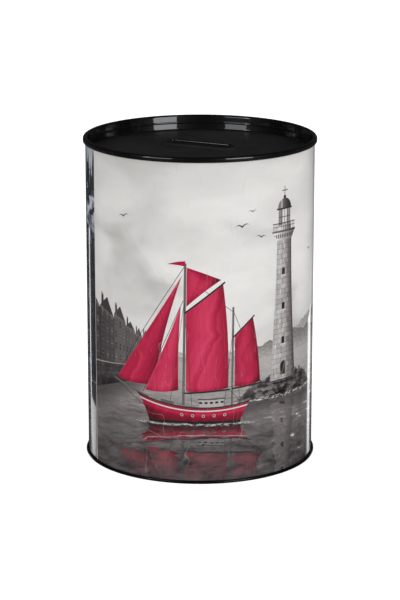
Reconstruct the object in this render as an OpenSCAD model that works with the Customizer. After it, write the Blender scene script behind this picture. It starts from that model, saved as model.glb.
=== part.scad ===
// Tin money box. A printed tinplate wrap with a folded side seam, a pressed base
// seamed onto its foot, and a pressed plug lid with a coin slot that lifts off the top.
// Every piece is one sheet of metal, so each is drawn as a bent line given a thickness.
// Z is up, the table is Z = 0, and the coin slot runs along X.

/* [Body] */
// Outside diameter of the printed wrap
body_d = 105; // [80:1:140]
// Height from the table to the crest of the lid's rim
tin_h = 150; // [60:1:220]
// Thickness of the wrap's sheet
body_sheet = 0.3; // [0.2:0.05:0.4]
// How far the wrap's top edge is folded down inside itself
hem_drop = 2.4; // [1.5:0.1:3]
// Air left between the two layers of the top hem
hem_gap = 0.05; // [0.02:0.01:0.1]

/* [Side seam] */
// Width of the folded lock seam on the inside of the wrap
seam_w = 4.5; // [3:0.5:6]
// How far the lock seam stands in from the wrap
seam_t = 0.7; // [0.4:0.1:1]
// Width of the fine line that the seam leaves outside
seam_line_w = 0.4; // [0.3:0.1:0.8]
// Depth of that line
seam_line_depth = 0.1; // [0.05:0.01:0.15]
// Direction of the seam from the centre, in degrees from +X towards +Y
seam_turn = 50; // [0:5:355]

/* [Lid] */
// Thickness of the sheet that the lid and the base are pressed from
end_sheet = 0.3; // [0.2:0.05:0.4]
// Height of the rolled rim's outer band
rim_h = 2.5; // [1.7:0.1:3]
// How far the rolled rim stands out past the wrap
rim_out = 1.05; // [0.9:0.05:1.5]
// Clearance between the lid's plug wall and the wrap's hem
lid_fit = 0.15; // [0.1:0.01:0.25]
// Clearance between the hem's crest and the inside of the rim
seat_gap = 0.05; // [0.02:0.01:0.08]
// Depth from the rim's crest to the top of the panel at its edge
lid_depth = 7; // [6:0.5:12]
// How far the middle of the panel is crowned above its edge
crown = 2; // [0:0.1:3]
// Radius of the corner where the plug wall turns into the panel
panel_bend = 0.9; // [0.5:0.1:1.5]
// Lean of the plug wall above its bead, in degrees, so that the plug enters easily
plug_lean = 7; // [0:0.5:8]
// Lean of the plug wall below its bead, in degrees
foot_lean = 9; // [0:0.5:12]
// Depth of the stiffening bead round the plug wall
bead_depth = 0.2; // [0.1:0.05:0.6]
// Distance of that bead below the rim's crest
bead_drop = 3.6; // [2.5:0.1:4.8]
// Half the height of that bead
bead_half_h = 0.45; // [0.4:0.05:1]

/* [Coin slot] */
// Clear length of the slot
slot_l = 31; // [28:0.5:36]
// Clear width of the slot
slot_w = 4.4; // [3:0.1:6]
// Width of the raised lip round the slot, from its foot to the slot's edge
lip_w = 2.6; // [2.4:0.1:3.5]
// Height of the raised lip above the panel
lip_h = 1.5; // [0.6:0.05:2]
// Width of the lip's level crest, before its corners are rounded
lip_flat = 1.1; // [1:0.05:1.2]
// How far the turned-down edge hangs below the panel's top
lip_drop = 2; // [1:0.1:3]

/* [Base] */
// Height of the panel's underside above the table
base_recess = 3; // [2.5:0.5:6]
// How far the foot's seam stands out past the wrap
foot_out = 1.05; // [0.9:0.05:1.5]
// Air left between the layers of the foot's seam
foot_gap = 0.12; // [0.05:0.01:0.2]
// Clearance between the base's wall and the wrap
base_fit = 0.1; // [0.05:0.01:0.2]
// Radius of the middle of the stiffening ring pressed into the panel
ring_r = 41; // [15:1:43]
// Width of that ring at its top
ring_w = 2.4; // [1:0.2:4]
// Height of that ring
ring_h = 0.8; // [0.3:0.1:1.2]

/* [Hidden] */
$fn = 180;

black = "#17161a";
tin_grey = "#cfcbc4";

bend_steps = 6; // flats in each bend of a sheet
fine = 0.001; // points nearer than this are one point
bite = 0.05; // how far two shapes run into each other to become one
beyond = 1; // how far a cut runs past what it cuts

// Wrap
body_r = body_d / 2;
wall_mid_r = body_r - body_sheet / 2;
wall_in_r = body_r - body_sheet;
hem_t = 2 * body_sheet + hem_gap;
hem_mid_r = wall_mid_r - body_sheet - hem_gap;
hem_bend = (body_sheet + hem_gap) / 2;

// Rolled rim of the lid: it wraps over the hem like an upturned gutter
plug_mid_r = body_r - hem_t - lid_fit - end_sheet / 2;
curl_mid_r = body_r + rim_out - end_sheet / 2;
rim_bend = (curl_mid_r - plug_mid_r) / 2;
rim_mid_z = tin_h - end_sheet / 2;
curl_bend = 0.35;
curl_tip_r = body_r + lid_fit;
curl_mid_z = tin_h - rim_h + end_sheet / 2;

// Plug wall: it leans in from the rim to the panel, with a bead on the way
bead_soft = 0.5;
bead_top_z = tin_h - bead_drop + bead_half_h;
bead_low_z = bead_top_z - 2 * bead_half_h;
bead_top_r = plug_mid_r - (rim_mid_z - bead_top_z) * tan(plug_lean);
bead_low_r = bead_top_r - 2 * bead_half_h * tan(plug_lean);

// The hem's round crest nests in the inner half of the rim's round crest, seat_gap apart
rim_centre = [plug_mid_r + rim_bend * tan(45 - plug_lean / 2), rim_mid_z - rim_bend];
crest_reach = rim_bend - end_sheet / 2 - hem_t / 2 - seat_gap;
crest_side = rim_centre.x - (body_r - hem_t / 2);
wrap_top = rim_centre.y + sqrt(pow(crest_reach, 2) - pow(crest_side, 2)) + hem_t / 2;
wrap_top_mid = wrap_top - body_sheet / 2;

// Panel of the lid: level round the slot, then a soft fall to its edge
edge_mid_z = tin_h - lid_depth - end_sheet / 2;
panel_r = bead_low_r - (bead_low_z - edge_mid_z) * tan(foot_lean);
crown_mid_z = edge_mid_z + crown;
lip_outer_l = slot_l + 2 * lip_w;
level_r = lip_outer_l / 2 + 1;
crown_steps = 12;

// Lip of the slot, by distance from the slot's centre line
lip_bend = 0.45;
lip_edge_d = slot_w / 2 + end_sheet / 2;
lip_foot_d = slot_w / 2 + lip_w;
lip_skirt = 0.8;
lip_crest_d = lip_edge_d + lip_flat;

// Foot: the wrap's flange lies between two layers of the base
foot_mid_r = body_r + foot_out - end_sheet / 2;
layer_step = (end_sheet + body_sheet) / 2 + foot_gap;
foot_low_z = end_sheet / 2;
flange_mid_z = foot_low_z + layer_step;
foot_high_z = flange_mid_z + layer_step;
flange_tip_r = foot_mid_r - end_sheet / 2 - foot_gap;
flange_bend = 0.35;
base_wall_r = wall_in_r - base_fit - end_sheet / 2;
base_wall_bend = 0.4;
base_mid_z = base_recess + end_sheet / 2;
base_bend = 0.8;
ring_soft = 0.6;
ring_slope = 1;

// Lock seam: it stops short of the base's panel and of the lid's plug
seam_clear = 1;
seam_low_z = base_mid_z + end_sheet / 2 + seam_clear;
seam_high_z = edge_mid_z - end_sheet / 2 - seam_clear;

// --- A bent sheet: a line with rounded corners, given a thickness ---

function unit(v) = v / norm(v);
function across(v) = [-v.y, v.x];
function turned(v, a) = [v.x * cos(a) - v.y * sin(a), v.x * sin(a) + v.y * cos(a)];

// Points of the arc of radius r that rounds the corner q between p and s
function bend(p, q, s, r) =
    let (back = unit(p - q), on = unit(s - q))
    let (half = acos(max(-1, min(1, back * on))) / 2)
    let (centre = q + unit(back + on) * r / sin(half))
    let (first = q + back * r / tan(half) - centre)
    let (sweep = (180 - 2 * half) * sign(on.x * back.y - on.y * back.x))
    [for (i = [0 : bend_steps]) centre + turned(first, sweep * i / bend_steps)];

// The line through points, where corner i is rounded by radii[i], or left sharp at 0
function bent_line(points, radii) =
    [for (i = [0 : len(points) - 1])
        each (i == 0 || i == len(points) - 1 || radii[i] == 0
            ? [points[i]]
            : bend(points[i - 1], points[i], points[i + 1], radii[i]))];

function without_repeats(line) =
    [for (i = [0 : len(line) - 1]) if (i == 0 || norm(line[i] - line[i - 1]) > fine) line[i]];

// The line moved sideways by d, with mitred corners
function beside(line, d) =
    [for (i = [0 : len(line) - 1])
        let (a = across(unit(line[max(i, 1)] - line[max(i, 1) - 1])))
        let (b = across(unit(line[min(i + 1, len(line) - 1)] - line[min(i, len(line) - 2)])))
        line[i] + unit(a + b) * d / (unit(a + b) * a)];

function reversed(line) = [for (i = [len(line) - 1 : -1 : 0]) line[i]];

function sheet_outline(points, radii, t) =
    let (line = without_repeats(bent_line(points, radii)))
    concat(beside(line, t / 2), reversed(beside(line, -t / 2)));

module spun_sheet(points, radii, t) {
    rotate_extrude() polygon(sheet_outline(points, radii, t));
}

// --- The wrap ---

module wrap_shell() {
    spun_sheet(
        [[hem_mid_r, wrap_top - hem_drop],
         [hem_mid_r, wrap_top_mid],
         [wall_mid_r, wrap_top_mid],
         [wall_mid_r, flange_mid_z],
         [flange_tip_r, flange_mid_z]],
        [0, hem_bend, hem_bend, flange_bend, 0],
        body_sheet);
}

// A patch of a ring, centred on the seam's direction
module seam_patch(r_in, r_out, width, z0, z1) {
    sweep = width / body_r * 180 / PI;
    rotate([0, 0, seam_turn - sweep / 2])
        rotate_extrude(angle = sweep)
            translate([r_in, z0]) square([r_out - r_in, z1 - z0]);
}

module body_wrap() {
    color(tin_grey) {
        difference() {
            wrap_shell();
            seam_patch(body_r - seam_line_depth, body_r + beyond, seam_line_w,
                foot_high_z + end_sheet, curl_mid_z);
        }
        seam_patch(wall_in_r - seam_t, wall_in_r + bite, seam_w, seam_low_z, seam_high_z);
    }
}

// --- The lid ---

// Height of the panel's middle layer at radius r
function crown_z(r) =
    edge_mid_z + crown * (1 - pow(max(0, r - level_r) / (panel_r - level_r), 2));

crown_radii = [for (k = [crown_steps - 1 : -1 : 0]) level_r + (panel_r - level_r) * k / crown_steps];

module lid_pressing() {
    rim = [[curl_tip_r, curl_mid_z], [curl_mid_r, curl_mid_z],
           [curl_mid_r, rim_mid_z], [plug_mid_r, rim_mid_z]];
    bead = [[bead_top_r, bead_top_z],
            [(bead_top_r + bead_low_r) / 2 - bead_depth, (bead_top_z + bead_low_z) / 2],
            [bead_low_r, bead_low_z]];
    panel = [[panel_r, edge_mid_z], for (r = crown_radii) [r, crown_z(r)], [0, crown_mid_z]];
    spun_sheet(
        concat(rim, bead, panel),
        concat([0, curl_bend, rim_bend, rim_bend], [bead_soft, bead_soft, bead_soft],
            [panel_bend], [for (p = panel) 0]),
        end_sheet);
}

// A flat stadium, long along X
module stadium(length, width) {
    square([length - width, width], center = true);
    for (side = [-1, 1]) translate([side * (length - width) / 2, 0]) circle(d = width);
}

module slot_lip() {
    run = (slot_l - slot_w) / 2; // from the middle to the centre of each round end
    outline = sheet_outline(
        [[lip_foot_d + lip_skirt, 0], [lip_foot_d, 0], [lip_crest_d, lip_h],
         [lip_edge_d, lip_h], [lip_edge_d, end_sheet / 2 - lip_drop]],
        [0, lip_bend, lip_bend, lip_bend, 0],
        end_sheet);
    translate([0, 0, crown_mid_z]) {
        for (side = [-1, 1]) {
            translate([side * run, 0, 0])
                rotate([0, 0, -90 * side])
                    rotate_extrude(angle = 180) polygon(outline);
            rotate([90, 0, 90 * side])
                translate([0, 0, -run]) linear_extrude(2 * run) polygon(outline);
        }
    }
}

module lid() {
    color(black) {
        difference() {
            lid_pressing();
            translate([0, 0, crown_mid_z - end_sheet])
                linear_extrude(2 * end_sheet)
                    stadium(slot_l + 2 * (lip_w + bite), slot_w + 2 * (lip_w + bite));
        }
        slot_lip();
    }
}

// --- The base ---

module base() {
    ring_in = ring_r - ring_w / 2;
    ring_out = ring_r + ring_w / 2;
    color(black)
        spun_sheet(
            [[body_r + foot_gap, foot_high_z],
             [foot_mid_r, foot_high_z],
             [foot_mid_r, foot_low_z],
             [base_wall_r, foot_low_z],
             [base_wall_r, base_mid_z],
             [ring_out + ring_slope, base_mid_z],
             [ring_out, base_mid_z + ring_h],
             [ring_in, base_mid_z + ring_h],
             [ring_in - ring_slope, base_mid_z],
             [0, base_mid_z]],
            [0, layer_step, layer_step, base_wall_bend, base_bend,
             ring_soft, ring_soft, ring_soft, ring_soft, 0],
            end_sheet);
}

body_wrap();
lid();
base();
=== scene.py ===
import math

import bmesh
import bpy
import numpy as np
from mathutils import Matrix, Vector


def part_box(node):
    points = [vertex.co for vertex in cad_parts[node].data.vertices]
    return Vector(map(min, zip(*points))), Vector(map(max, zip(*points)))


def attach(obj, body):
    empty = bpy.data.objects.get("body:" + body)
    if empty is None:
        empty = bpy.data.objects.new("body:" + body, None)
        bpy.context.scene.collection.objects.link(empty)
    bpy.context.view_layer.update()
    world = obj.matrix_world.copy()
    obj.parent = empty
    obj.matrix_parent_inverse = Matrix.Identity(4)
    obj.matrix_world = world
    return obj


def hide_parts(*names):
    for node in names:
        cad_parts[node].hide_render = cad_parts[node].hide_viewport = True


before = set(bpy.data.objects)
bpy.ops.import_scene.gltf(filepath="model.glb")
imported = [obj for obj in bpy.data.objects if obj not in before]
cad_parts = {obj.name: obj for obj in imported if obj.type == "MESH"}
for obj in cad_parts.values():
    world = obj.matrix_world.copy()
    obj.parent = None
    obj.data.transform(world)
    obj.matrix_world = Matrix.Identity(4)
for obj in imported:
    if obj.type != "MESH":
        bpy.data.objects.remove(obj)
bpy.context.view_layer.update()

scene = bpy.context.scene
mm = 0.001

# Driving sizes in millimetres, read from the frame where it has them
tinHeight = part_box("lid")[1].z / mm
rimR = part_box("lid")[1].x / mm

tin = {
    "sheet": 0.3,  # thickness of every sheet
    "columns": 360,  # mesh columns round the tin
    "borderColumn": 182,  # where the back picture ends and the front one begins
    "bendSteps": 6,  # rows in each bend
    "longRun": 0.3,  # a longer part of a line gets two more points,
    "grip": 0.04,  # this far from its ends
    "sharpAngle": 38,  # degrees, past which an edge isn't smoothed
}
wrap = {
    "hemDrop": 2.4,
    "hemGap": 0.05,
    "flangeOut": 0.63,  # how far the foot's flange reaches past the wall
    "flangeZ": 0.57,
    "seamAzimuth": 140,
    "seamWidth": 4.5,
    "seamStand": 0.7,
    "seamOverBase": 0.8,
    "seamUnderLid": 1.3,
    "seamLine": 0.4,
    "seamLineDepth": 0.1,
}
lid = {
    "rimOut": 1.05,
    "rimHeight": 2.5,
    "fit": 0.15,
    "depth": 7,
    "crown": 2,
    "cornerBend": 0.9,
    "beadDrop": 3.6,
    "beadHalfHeight": 0.45,
    "beadDepth": 0.2,
    "wallLean": 7,  # degrees, above the bead
    "footLean": 9,  # degrees, below the bead
    "slotLength": 31,
    "slotWidth": 4.4,
    "lipWidth": 2.6,
    "lipHeight": 1.5,
    "lipFlat": 1.1,
    "lipDrop": 2,
}
base = {
    "recess": 3,
    "seamGap": 0.12,
    "seamHeight": 1.5,
    "fit": 0.1,
    "ringR": 41,
    "ringWidth": 2.4,
    "ringHeight": 0.8,
}
bodyR = rimR - lid["rimOut"]
sheetLength = 2 * math.pi * bodyR
border = sheetLength * tin["borderColumn"] / tin["columns"]
allRound = np.linspace(0, 2 * math.pi, tin["columns"], endpoint=False)


def unit(vectors):  # each one made 1 long
    return vectors / np.linalg.norm(vectors, axis=-1, keepdims=True)


# A corner q between p and s is replaced by an arc of radius r: its centre lies on the
# bisector, and its points turn evenly from one tangent point to the other
def roundCorner(p, q, s, r, steps):
    back, on = unit(p - q), unit(s - q)
    half = math.acos(np.clip(back @ on, -1, 1)) / 2
    centre = q + unit(back + on) * r / math.sin(half)
    first = q + back * r / math.tan(half) - centre
    sweep = (math.pi - 2 * half) * np.sign(on[0] * back[1] - on[1] * back[0])
    turn = sweep * np.linspace(0, 1, steps + 1)
    aside = (-first[1], first[0])
    return centre + (np.outer(np.cos(turn), first) + np.outer(np.sin(turn), aside))


# The line through points with corner k rounded by radii[k]. Near both ends of each straight part
# stands one more point, so that the shading of a bend doesn't bleed into it
def bentLine(points, radii, steps=tin["bendSteps"]):
    points = np.array(points, float)
    parts = [points[:1]]
    for p, q, s, r in zip(points, points[1:], points[2:], radii[1:]):
        parts.append(roundCorner(p, q, s, r, steps) if r else q[None])
    line = np.concatenate(parts + [points[-1:]])
    line = line[np.r_[True, np.linalg.norm(np.diff(line, axis=0), axis=1) > 0.001]]
    held = [line[0]]
    for p, q in zip(line, line[1:]):
        if math.dist(p, q) > tin["longRun"]:
            held += [p + unit(q - p) * tin["grip"], q - unit(q - p) * tin["grip"]]
        held.append(q)
    return np.array(held)


# The line moved sideways by d, each corner along its own mitre
def besideLine(line, d):
    step = unit(np.diff(line, axis=0))
    across = np.stack([-step[:, 1], step[:, 0]], 1)
    before, after = np.r_[across[:1], across], np.r_[across, across[-1:]]
    mitre = unit(before + after)
    return line + mitre * d / (mitre * before).sum(1)[:, None]


def sheetOutline(line, thickness):
    return np.concatenate([besideLine(line, thickness / 2), besideLine(line, -thickness / 2)[::-1]])


# A mesh from rows of points (rows, columns, 3) in millimetres: columns close on themselves,
# rows too where closedRows is set, and rows that shrink to a point are merged into a pole
def gridMesh(name, points, closedRows, uv=None, materialRows=None):
    rows, columns = points.shape[:2]
    r, c = np.meshgrid(np.arange(rows if closedRows else rows - 1), np.arange(columns), indexing="ij")
    nextR, nextC = (r + 1) % rows, (c + 1) % columns
    quads = np.stack([r * columns + c, r * columns + nextC,
                      nextR * columns + nextC, nextR * columns + c], -1).reshape(-1, 4)
    mesh = bpy.data.meshes.new(name)
    mesh.from_pydata(points.reshape(-1, 3) * mm, [], quads.tolist())
    if uv is not None:
        u, v = uv  # u has one more entry than there are columns, so that it doesn't wrap back
        corners = ((c, r), (c + 1, r), (c + 1, nextR), (c, nextR))
        loopUv = np.stack([np.stack([u[i], v[j]], -1) for i, j in corners], 2)
        layer = mesh.uv_layers.new(name="sheet")
        layer.data.foreach_set("uv", loopUv.reshape(-1).astype(np.float32))
    if materialRows is not None:
        mesh.polygons.foreach_set("material_index", materialRows[r, c].reshape(-1).astype(np.int32))
    build = bmesh.new()
    build.from_mesh(mesh)
    bmesh.ops.remove_doubles(build, verts=build.verts, dist=1e-7)
    bmesh.ops.recalc_face_normals(build, faces=build.faces)
    build.to_mesh(mesh)
    build.free()
    mesh.shade_smooth()
    mesh.set_sharp_from_angle(angle=math.radians(tin["sharpAngle"]))
    return mesh


def addObject(name, data):
    thing = bpy.data.objects.new(name, data)
    scene.collection.objects.link(thing)
    return thing


def addPiece(name, mesh, body, slot, materials, *nodes):
    piece = addObject(name, mesh)
    for material in materials:
        mesh.materials.append(material)
    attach(piece, body)
    if nodes:
        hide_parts(*nodes)


# Azimuth 0 faces -Y and grows towards +X
def aroundTin(azimuth):
    return np.stack([np.sin(azimuth), -np.cos(azimuth)], -1)


def spin(outline, azimuth):
    across = outline[:, :1, None] * aroundTin(azimuth)
    height = np.broadcast_to(outline[:, 1:, None], across.shape[:2] + (1,))
    return np.concatenate([across, height], -1)


# A Wire is one number or colour in a node tree, so that a pattern can be written as a formula.
# A node that feeds another is always made before it, because the renderer works through
# them in that order and has room for only 255 waiting numbers
class Wire:
    def __init__(self, socket):
        self.tree, self.socket = socket.id_data, socket

    __add__ = __radd__ = lambda self, other: calc("ADD", self, other)
    __mul__ = __rmul__ = lambda self, other: calc("MULTIPLY", self, other)
    __sub__ = lambda self, other: calc("SUBTRACT", self, other)
    __rsub__ = lambda self, other: calc("SUBTRACT", other, self)
    __truediv__ = lambda self, other: calc("DIVIDE", self, other)
    __rtruediv__ = lambda self, other: calc("DIVIDE", other, self)
    __pow__ = lambda self, other: calc("POWER", self, other)
    __abs__ = lambda self: calc("ABSOLUTE", self)

    def siblings(self):  # every output of the same node
        return [Wire(socket) for socket in self.socket.node.outputs]


def feed(socket, value):
    if isinstance(value, Wire):
        value.tree.links.new(value.socket, socket)
    else:
        socket.default_value = value


# One output of a new node. inputs maps its sockets to wires or plain values
def wired(tree, kind, inputs, output=0, **settings):
    node = tree.nodes.new("ShaderNode" + kind)
    for name, value in settings.items():
        setattr(node, name, value)
    for socket, value in inputs.items():
        feed(node.inputs[socket], value)
    return Wire(node.outputs[output])


def calc(operation, *values):
    tree = next(v.tree for v in values if isinstance(v, Wire))
    return wired(tree, "Math", dict(enumerate(values)), operation=operation)


def place(group, *values):
    tree = next(v.tree for v in values if isinstance(v, Wire))
    return wired(tree, "Group", dict(enumerate(values)), node_tree=group).siblings()


def least(first, *others):
    for other in others:
        first = calc("MINIMUM", first, other)
    return first


def most(first, *others):
    for other in others:
        first = calc("MAXIMUM", first, other)
    return first


def whole(value):  # the whole number below
    return calc("FLOOR", value)


def part(value):  # what is left past it
    return calc("FRACT", value)


def length(x, y):
    return calc("SQRT", x * x + y * y)


# 0 below low, 1 above high, and a smooth step between; the other way round where low > high
def ramp(value, low, high):
    return wired(value.tree, "MapRange", {"Value": value, "From Min": low, "From Max": high}, "Result",
                 interpolation_type="SMOOTHSTEP", clamp=False)


def inkEdge(distance):  # full ink inside, none outside, a soft edge between
    return ramp(distance, -0.07, 0.07)


def between(value, low, high):
    return inkEdge(least(value - low, high - value))


def fromMiddle(value, cell):  # how far a value is from the middle of its cell
    return abs(part(value / cell) - 0.5) * cell


def stripes(value, dark, pale=0.5):  # 1 on the lines between whole numbers, 0 past their edges
    return ramp(abs(part(value) - 0.5), dark, pale)


# a + (b - a) * share, for numbers or for colours
def blend(a, b, share, kind="FLOAT"):
    first, output = {"FLOAT": (2, 0), "RGBA": (6, 2)}[kind]
    return wired(share.tree, "Mix", {0: share, first: a, first + 1: b}, output, data_type=kind)


# Fractal noise, 0 to 1 with most of it near 0.5, over a vector or along one number
def noise(at, dimensions, detail, roughness, distortion=0):
    return wired(at.tree, "TexNoise", {
        "W" if dimensions == "1D" else "Vector": at, "Scale": 1, "Detail": detail,
        "Roughness": roughness, "Distortion": distortion}, "Fac", noise_dimensions=dimensions)


def cloud(x, y, detail=4, roughness=0.5, distortion=0):
    return noise(wired(x.tree, "CombineXYZ", {0: x, 1: y}), "2D", detail, roughness, distortion)


def streak(value, detail=4, roughness=0.5):
    return noise(value, "1D", detail, roughness)


# One random number from 0 to 1 for each whole x and each y
def chance(x, y):
    return wired(x.tree, "TexWhiteNoise", {"W": y * 57.31 + whole(x)}, "Value", noise_dimensions="1D")


# How far a place lies to the left of the line through start that runs along (ax, ay)
def leftOf(x, y, start, ax, ay):
    return calc("MULTIPLY_ADD", y, ax, calc("MULTIPLY_ADD", x, -ay, start[0] * ay - start[1] * ax))


def aim(start, end):  # a line's length and its direction
    run = math.dist(start, end)
    return run, (end[0] - start[0]) / run, (end[1] - start[1]) / run


# An edge from one point to the next, as the distance to its left side. bow is how far its
# middle swells out to the right
def edgeLine(x, y, start, end, bow=0):
    run, ax, ay = aim(start, end)
    side = leftOf(x, y, start, ax, ay)
    if not bow:
        return side
    share = leftOf(x, y, start, ay / run, -ax / run)
    return side + share * (1 - share) * (4 * bow)


# Lines of ink, each given by its two ends and its width
def strokes(x, y, *lines):
    found = -9
    for start, end, width in lines:
        run, ax, ay = aim(start, end)
        side, along = leftOf(x, y, start, ax, ay), leftOf(x, y, start, ay, -ax)
        found = most(found, least(width / 2 - abs(side), along, run - along))
    return inkEdge(found)


# Layers of ink, each over the last: tone is 0 for black to 1 for white, and red is 1 where
# the crimson plate prints instead of the grey one
class Ink:
    def __init__(self, tone):
        self.tone, self.red, self.cover = tone, 0, 0

    def lay(self, mask, tone, red=0):
        self.tone = blend(self.tone, tone, mask)
        self.red = blend(self.red, red, mask)
        self.cover = most(self.cover, mask)

    def fill(self, shape, tone, red=0):  # shape is how far a place lies inside the shape's edge
        self.lay(inkEdge(shape), tone, red)


# A node group with named inputs and outputs, drawn by a function of its inputs. Vector and
# Color are of that kind, and every other input or output is a number
def nodeGroup(name, inputs, outputs, draw):
    tree = bpy.data.node_groups.new(name, "ShaderNodeTree")
    for way, sockets in (("INPUT", inputs), ("OUTPUT", outputs)):
        for socket in sockets:
            kind = socket if socket in ("Vector", "Color") else "Float"
            tree.interface.new_socket(socket, in_out=way, socket_type="NodeSocket" + kind)
    start = tree.nodes.new("NodeGroupInput")
    results = draw(*[Wire(start.outputs[socket]) for socket in inputs])
    end = tree.nodes.new("NodeGroupOutput")
    for socket, result in zip(outputs, results):
        feed(end.inputs[socket], result)
    return tree


harbour = {
    "horizon": 57,
    "boatAt": (-22, 28),
    "boatScale": 1.1,
    "clothWidth": 2.3,  # from seam to seam of a sail
    "lightAt": (21, 48),
    "vanishX": -20,  # the row of houses runs towards this point of the horizon
    "waterline": 37,  # at the rock under the lighthouse
}


# A sail between corners listed counterclockwise from its tack: foot, leech, (head,) luff.
# Its tone swells and falls from luff to leech, with a seam every clothWidth
def laySail(ink, x, y, corners, bows, light):
    edges = [edgeLine(x, y, *edge) for edge in zip(corners, corners[1:] + corners[:1], bows)]
    leech, luff, foot = edges[1], edges[-1], edges[0]
    share = luff / most(luff + leech, 0.01)
    seam = stripes(leech / harbour["clothWidth"], 0.44)
    drape = streak(y * 0.07 + light * 40, 2)
    crease = streak(x * 0.2 - y * 0.05 + drape * 2.2 + light * 90, 4, 0.62)
    swell = calc("SINE", share * 2.6 + 0.25)
    tone = light + swell * 0.26 - share * 0.2 + (crease - 0.5) * 0.42 - seam * 0.07
    tone = tone - ramp(foot, 2.4, 0) * 0.12 + ramp(least(luff, leech), 0.55, 0.3) * 0.07
    ink.fill(least(*edges), tone, 1)


def drawBoat(x, y):
    ink = Ink(0.3)
    # rigging behind the sails, then the masts and the bowsprit
    ink.lay(strokes(x, y, ((-6, 52), (-23.5, 12.3), 0.22), ((-5.2, 66.5), (-38, 15.6), 0.22),
                    ((14.4, 47), (-3.5, 61), 0.2), ((14.5, 47.5), (27, 16), 0.18),
                    ((-22.5, 6.5), (-37.5, 15.4), 0.22)), 0.12)
    ink.lay(strokes(x, y, ((-6, 8), (-5.1, 67.5), 1), ((14, 8), (14.5, 49), 0.85),
                    ((-21, 10.4), (-38.5, 15.8), 0.9)), 0.4)
    for corners, bows, light in (
            (((-36.8, 16.4), (-18.6, 16.2), (-6.4, 62.5)), (0.9, -0.9, -0.7), 0.4),
            (((-22.6, 13.3), (-8, 14.4), (-6.9, 50)), (0.8, -0.5, -0.5), 0.52),
            (((-4.7, 49.5), (9.4, 60.6), (-4.5, 65.8)), (-0.4, 0.2, 0), 0.44),
            (((-4.9, 13.9), (12.4, 15.2), (10.2, 58.8), (-4.9, 47.2)), (0.7, 0.9, 0.2, 0), 0.5),
            (((15.1, 15.5), (26.6, 16.6), (23, 44.2), (15.2, 36.8)), (0.5, 0.6, 0.2, 0), 0.38)):
        laySail(ink, x, y, corners, bows, light)
    ink.lay(strokes(x, y, ((-5.9, 13.1), (13.2, 14.5), 0.75), ((-5.4, 46.8), (11, 59.6), 0.7),
                    ((14, 14.7), (27.4, 15.9), 0.7), ((14.4, 36.3), (23.8, 44.8), 0.6),
                    ((-5.6, 51), (-11.5, 9), 0.16), ((-5.6, 51), (-2.5, 8), 0.16),
                    ((14.4, 40), (10.8, 8), 0.14), ((14.4, 40), (17.6, 8.4), 0.14),
                    ((13, 14.6), (17.5, 9), 0.16), ((27.2, 16), (20.5, 9.2), 0.16)), 0.16)
    # wheelhouse and hatches
    sheer = (x - 3) * (x - 3) * 0.0055 + 6.9
    above = y - sheer
    house = least(x - 0.5, 10.5 - x, above, 3.6 - above)
    ink.fill(house, 0.72)
    ink.fill(least(house, 0.42 - abs(above - 2.2), 0.62 - fromMiddle(x, 2.2)), 0.14)
    ink.lay(between(above, 3.4, 3.9) * between(x, 0, 11), 0.3)
    ink.lay(between(above, -0.2, 1.5) * between(x, -15.5, -10), 0.38)
    # hull
    wave = (streak(x * 0.35, 3) - 0.5) * 1.6
    stem = edgeLine(x, y, (-26.2, 11.6), (-20.2, -1.5), -0.9)
    transom = edgeLine(x, y, (17, -1.5), (21.8, 8.9), -0.4)
    down = sheer - y
    hull = least(down, stem, transom, y - wave, 30 - abs(x))
    plank = stripes(down / 1.25, 0.43)
    gloss = ramp(abs(down - 2.7), 1.6, 0) * 0.16
    tone = 0.5 - down * 0.032 + gloss - plank * 0.08 - ramp(stem, 7, 0) * 0.1
    ink.fill(hull, tone + (streak(x * 0.3 + down * 0.15) - 0.5) * 0.24, 1)
    ink.fill(least(hull, 0.3 - abs(down - 1.35)), 0.86)
    ink.fill(least(hull, 1.3 - y + wave), 0.1)
    ink.fill(least(0.32 - abs(down), stem, transom, 30 - abs(x)), 0.2)
    port = fromMiddle(x, 4.4)
    ring = length(port, down - 3.4)
    amidships = least(hull, x + 9, 12 - x)
    ink.fill(least(amidships, 0.62 - ring), 0.8)
    ink.fill(least(amidships, 0.36 - ring), 0.1)
    pennant = least(edgeLine(x, y, (-5.1, 68.4), (-12.5, 66.9), 0.3),
                    edgeLine(x, y, (-12.5, 66.9), (-5.1, 66.2), -0.2), -5.1 - x)
    ink.fill(pennant, 0.5, 1)
    return ink.tone, ink.red, ink.cover


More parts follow.
